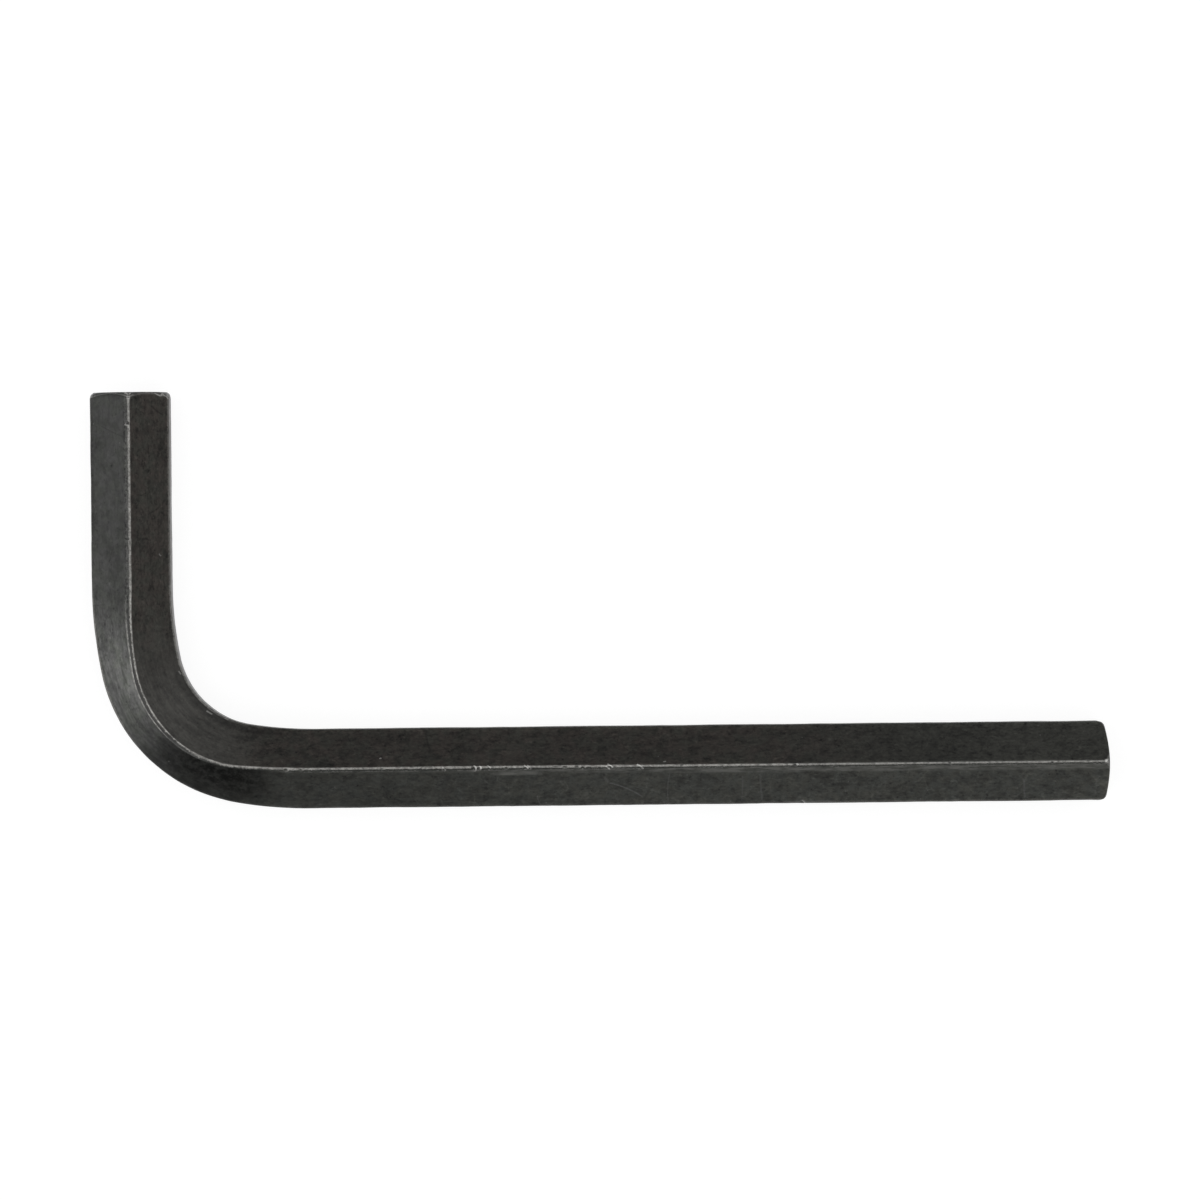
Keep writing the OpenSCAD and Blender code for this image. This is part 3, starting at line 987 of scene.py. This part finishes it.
def black_oxide():
    """Blackened steel: mottled and pitted, rubbed bright along the ridges, with painted
    reflections, a painted highlight and painted shade in the bend.
    """
    material = bpy.data.materials.new("black_oxide")
    n = Nodes(material)
    at = read_places(n)
    tone, height, blotches, pits = mottling(n, at)
    bend_stains_and_light, stain_and_dark_reflection = bend_stains_and_painted_light(n, at)
    side_tone, polished = beside_ridges(n, at)
    tip_edge, tip_corner = tip_edges(n, at)
    bright = n.most(strokes(n, at, BRIGHT_STROKES, kept=0.7), tip_corner)
    rubbed = n.most(rubbed_ridges(n, at), tip_edge)

    dark_veins = n.less(strokes(n, at, DARK_VEINS, kept=0.6), 0.5)
    # The bend's tone brings in its painted reflection, painted highlight and painted shade
    colour = n.shade(oxide_colour(n, at), n.times(tone, bend_stains_and_light, side_tone, dark_veins))
    specks = n.dots(at.place, 1.1, 0.10, 0.10, shift=7.0)
    colour = n.mix(n.times(specks, 0.5), colour, SPECKLED)
    colour = n.mix(n.times(polished, 0.8), colour, POLISHED)
    colour = n.mix(n.times(strokes(n, at, SCRATCHES), 0.6), colour, SCRATCHED)
    steel = n.mix(at.pressed, RUBBED, RUBBED_IN_BEND)
    colour = n.mix(rubbed, colour, steel)
    colour = n.mix(bright, colour, STRUCK)

    # Turned rings on the faces of the tips, and the relief of the whole surface
    across = n.add("ShaderNodeVectorMath", [at.place, (1, 1, 0)], operation="MULTIPLY").outputs[0]
    radius = n.add("ShaderNodeVectorMath", [across], operation="LENGTH").outputs["Value"]
    radians_per_mm = 38.0
    wobble = 5.0
    rings = n.math("SINE", n.plus(n.times(radius, radians_per_mm), n.times(blotches, wobble)))
    rings = n.times(rings, at.on_face, n.step(radius, 0.3, 0.7))
    colour = n.shade(colour, n.plus(1.0, n.times(rings, 0.14)))
    height = n.plus(height, n.times(rings, 0.25))
    bump_depth = 0.006 * MM
    bump = n.add(
        "ShaderNodeBump", {"Strength": 1.0, "Distance": bump_depth, "Height": height}
    ).outputs[0]

    # The inner rim of the long arm keeps its black, and hardly shines
    dull_rim = n.times(
        n.step(at.nearest, -0.6, -0.4, 1, 0),
        n.step(at.beside, 0.25, 0.5, 1, 0),
        n.step(at.along, 29.0, 38.0),
        at.on_side,
    )
    roughest, smoothest = 0.47, 0.38
    roughness = n.plus(
        n.step(blotches, 0.25, 0.75, roughest, smoothest),
        n.times(pits, 0.12),
        n.times(rubbed, -0.06),
        n.times(at.sideways, at.on_side, n.step(at.beside, 0.2, 0.5, 0.2, 0.0)),
    )
    oxide_metallic, steel_metallic = 0.5, 0.9
    bare = n.step(n.most(rubbed, bright), 0.0, 1.0, oxide_metallic, steel_metallic)
    metallic = n.times(bare, n.less(dull_rim, 0.6))
    # Less shine where the bend's stain and painted dark reflection lie
    shine = n.times(0.5, n.less(stain_and_dark_reflection, 0.7), n.less(dull_rim, 0.6))
    shader = n.add(
        "ShaderNodeBsdfPrincipled",
        {
            "Base Color": colour,
            "Metallic": metallic,
            "Roughness": roughness,
            "Specular IOR Level": shine,
            "Normal": bump,
            "IOR": 1.5,
        },
    )
    n.finish(shader)
    return material


def white_stage():
    """White floor and backdrop: white to the camera and in reflections, with a soft shadow."""
    material = bpy.data.materials.new("white_stage")
    n = Nodes(material)
    path = n.add("ShaderNodeLightPath").outputs
    seen = n.most(path["Is Camera Ray"], path["Is Glossy Ray"], path["Is Transmission Ray"])
    lit = n.add("ShaderNodeBsdfDiffuse", {"Color": grey(0.8)})
    faint = n.add("ShaderNodeBsdfDiffuse", {"Color": grey(0.2)})
    glow = n.add("ShaderNodeEmission", {"Color": grey(1.0), "Strength": 0.875})
    shown = n.add("ShaderNodeAddShader", [faint.outputs[0], glow.outputs[0]])
    n.finish(n.add("ShaderNodeMixShader", [seen, lit.outputs[0], shown.outputs[0]]))
    return material


def build_stage():
    """A round floor that turns up into a low wall, far from the object."""
    floor_r = 3.0
    wall_height = 0.45
    corner_r = 0.25
    corner_steps = 8
    sides = 96
    profile = [(floor_r - corner_r, 0.0)]
    for step in range(1, corner_steps + 1):
        angle = step / corner_steps * math.pi / 2
        reach = floor_r - corner_r + corner_r * math.sin(angle)
        profile.append((reach, corner_r * (1 - math.cos(angle))))
    profile.append((floor_r, wall_height))
    vertices = [(0, 0, 0)]
    for radius, height in profile:
        for side in range(sides):
            turn = side / sides * 2 * math.pi
            vertices.append((radius * math.cos(turn), radius * math.sin(turn), height))
    faces = [(0, 1 + side, 1 + (side + 1) % sides) for side in range(sides)]
    for ring in range(len(profile) - 1):
        for side in range(sides):
            a = 1 + ring * sides + side
            b = 1 + ring * sides + (side + 1) % sides
            faces.append((a, a + sides, b + sides, b))
    mesh = bpy.data.meshes.new("stage")
    mesh.from_pydata(vertices, [], faces)
    mesh.materials.append(white_stage())
    mesh.shade_smooth()
    stage = bpy.data.objects.new("stage", mesh)
    bpy.context.scene.collection.objects.link(stage)
    return stage


def softbox(name, azimuth, elevation, distance, size, radiance):
    """A square soft light aimed at the object. Azimuth 0 lies towards -X and 90 towards -Y."""
    light = bpy.data.lights.new(name, "AREA")
    light.shape = "SQUARE"
    light.size = size
    light.energy = radiance * math.pi * size**2
    holder = bpy.data.objects.new(name, light)
    turn = math.radians(azimuth)
    rise = math.radians(elevation)
    level = distance * math.cos(rise)
    holder.location = (-math.cos(turn) * level, -math.sin(turn) * level, distance * math.sin(rise))
    holder.rotation_euler = holder.location.to_track_quat("Z", "Y").to_euler()
    holder.visible_camera = False
    bpy.context.scene.collection.objects.link(holder)


def build_lights():
    world = bpy.data.worlds.new("room")
    bpy.context.scene.world = world
    world.use_nodes = True
    background = world.node_tree.nodes["Background"]
    background.inputs["Color"].default_value = grey(1.0)
    background.inputs["Strength"].default_value = 0.22
    softbox("overhead", azimuth=0, elevation=90, distance=1.1, size=1.2, radiance=1.9)
    softbox("left", azimuth=14, elevation=30, distance=1.0, size=0.5, radiance=2.2)
    softbox("front", azimuth=108, elevation=30, distance=1.0, size=0.4, radiance=0.7)
    softbox("corner", azimuth=220, elevation=30, distance=1.0, size=0.45, radiance=1.1)


def build_camera():
    """The photograph's camera: straight above, far off, and turned a little."""
    turned = math.radians(-0.605)
    distance = 961 * MM
    view_x = 0.037 * MM
    view_y = -0.372 * MM
    data = bpy.data.cameras.new("camera")
    data.sensor_width = 36
    data.lens = 285
    data.clip_start = 0.05
    camera = bpy.data.objects.new("camera", data)
    camera.location = (view_x, view_y, mid_z + distance)
    camera.rotation_euler = (0, 0, turned)
    bpy.context.scene.collection.objects.link(camera)
    bpy.context.scene.camera = camera


build_camera()
build_lights()
build_stage()

hex_key = build_key()
hex_key.data.materials.append(black_oxide())
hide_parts("hex_key")
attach(hex_key, "root")

bpy.context.scene.view_settings.view_transform = "Standard"
